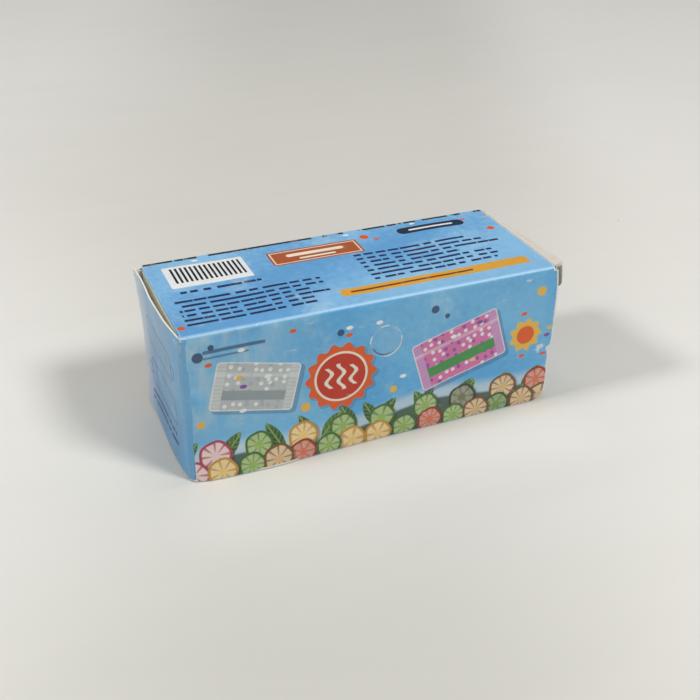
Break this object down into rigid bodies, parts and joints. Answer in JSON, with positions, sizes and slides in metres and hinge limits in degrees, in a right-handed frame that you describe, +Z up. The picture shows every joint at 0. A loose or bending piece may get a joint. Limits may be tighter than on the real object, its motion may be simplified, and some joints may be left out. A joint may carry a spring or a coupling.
{
  "type": "boxed handheld heat sealer",
  "caption": "Light blue tuck-end carton with hinged end flaps, holding a battery heat sealer with a sprung press arm, heated head and silicone jaw pad.",
  "frame": {"origin": "middle of the carton sleeve's underside, on the surface that it stands on", "axes": "+X along the carton to its right end, -Y out of the front panel, +Z up"},
  "size_m": [0.1234, 0.0487, 0.048],
  "materials": {
    "printed_board": "coated printed carton board, light blue",
    "bare_board": "unprinted inner side of carton board, cream white",
    "clear_film": "clear glossy film",
    "casing_grey": "fine moulded texture, light grey",
    "inner_grey": "moulded, satin grey",
    "steel": "plain bright steel",
    "brass": "stamped strip",
    "ribbon": "resistance alloy, dull",
    "ceramic": "unglazed white",
    "slip_film": "brown coated glass cloth",
    "silicone": "red silicone",
    "red_sleeve": "wire insulation",
    "black_sleeve": "wire insulation"
  },
  "bodies": {
    "carton": {"carton_sleeve": "printed_board", "clear_sticker": "clear_film"},
    "left_closure": {"left_closure": "printed_board"},
    "left_top_flap": {"left_top_dust_flap": "bare_board"},
    "left_bottom_flap": {"left_bottom_dust_flap": "bare_board"},
    "right_closure": {"right_closure": "printed_board"},
    "right_top_flap": {"right_top_dust_flap": "bare_board"},
    "right_bottom_flap": {"right_bottom_dust_flap": "bare_board"},
    "sealer": {"base_shell": "casing_grey", "nose_deck": "inner_grey", "cell_cover": "inner_grey", "hinge_pin": "steel", "return_spring": "steel", "ceramic_head": "ceramic", "heating_ribbon": "ribbon", "slip_cover": "slip_film", "heater_terminals": "brass", "switch_leaf": "brass", "switch_anvil": "brass", "bridge_contact": "brass", "positive_contact": "brass", "negative_contact": "brass", "cell_springs": "steel", "red_lead": "red_sleeve", "black_lead": "black_sleeve", "link_lead": "black_sleeve", "deck_screws": "steel"},
    "arm": {"press_arm": "casing_grey", "arm_liner": "inner_grey", "silicone_pad": "silicone", "liner_screws": "steel"}
  },
  "joints": [
    {"name": "sealer_slide", "type": "slide", "parent": "carton", "child": "sealer", "axis": [-1, 0, 0], "range_m": [0, 0.054]},
    {"name": "left_closure_fold", "type": "hinge", "parent": "carton", "child": "left_closure", "pos_m": [-0.05893, -0.024, 0.024], "axis": [0, 0, 1], "range_deg": [0, 152]},
    {"name": "left_top_flap_fold", "type": "hinge", "parent": "carton", "child": "left_top_flap", "pos_m": [-0.05833, 0, 0.04775], "axis": [0, 1, 0], "range_deg": [0, 152]},
    {"name": "left_bottom_flap_fold", "type": "hinge", "parent": "carton", "child": "left_bottom_flap", "pos_m": [-0.05833, 0, 0.00025], "axis": [0, -1, 0], "range_deg": [0, 92]},
    {"name": "right_closure_fold", "type": "hinge", "parent": "carton", "child": "right_closure", "pos_m": [0.05893, 0.024, 0.024], "axis": [0, 0, 1], "range_deg": [0, 150]},
    {"name": "right_top_flap_fold", "type": "hinge", "parent": "carton", "child": "right_top_flap", "pos_m": [0.05833, 0, 0.04775], "axis": [0, -1, 0], "range_deg": [0, 100]},
    {"name": "right_bottom_flap_fold", "type": "hinge", "parent": "carton", "child": "right_bottom_flap", "pos_m": [0.05833, 0, 0.00025], "axis": [0, 1, 0], "range_deg": [0, 92]},
    {"name": "arm_press", "type": "hinge", "parent": "sealer", "child": "arm", "pos_m": [0.05058, 0, 0.0256], "axis": [0, 1, 0], "range_deg": [-4.5, 0], "stiffness_Nm_per_rad": 2, "springref_deg": 5.73, "deforming": ["return_spring"]}
  ],
  "couplings": [
    {"joint": "left_closure_fold", "follows": "sealer_slide", "rad_per_m": 48.481},
    {"joint": "left_top_flap_fold", "follows": "sealer_slide", "rad_per_m": 48.481},
    {"joint": "left_bottom_flap_fold", "follows": "sealer_slide", "rad_per_m": 29.089},
    {"joint": "right_top_flap_fold", "follows": "right_closure_fold", "ratio": 0.65},
    {"joint": "right_bottom_flap_fold", "follows": "right_closure_fold", "ratio": 0.6}
  ]
}
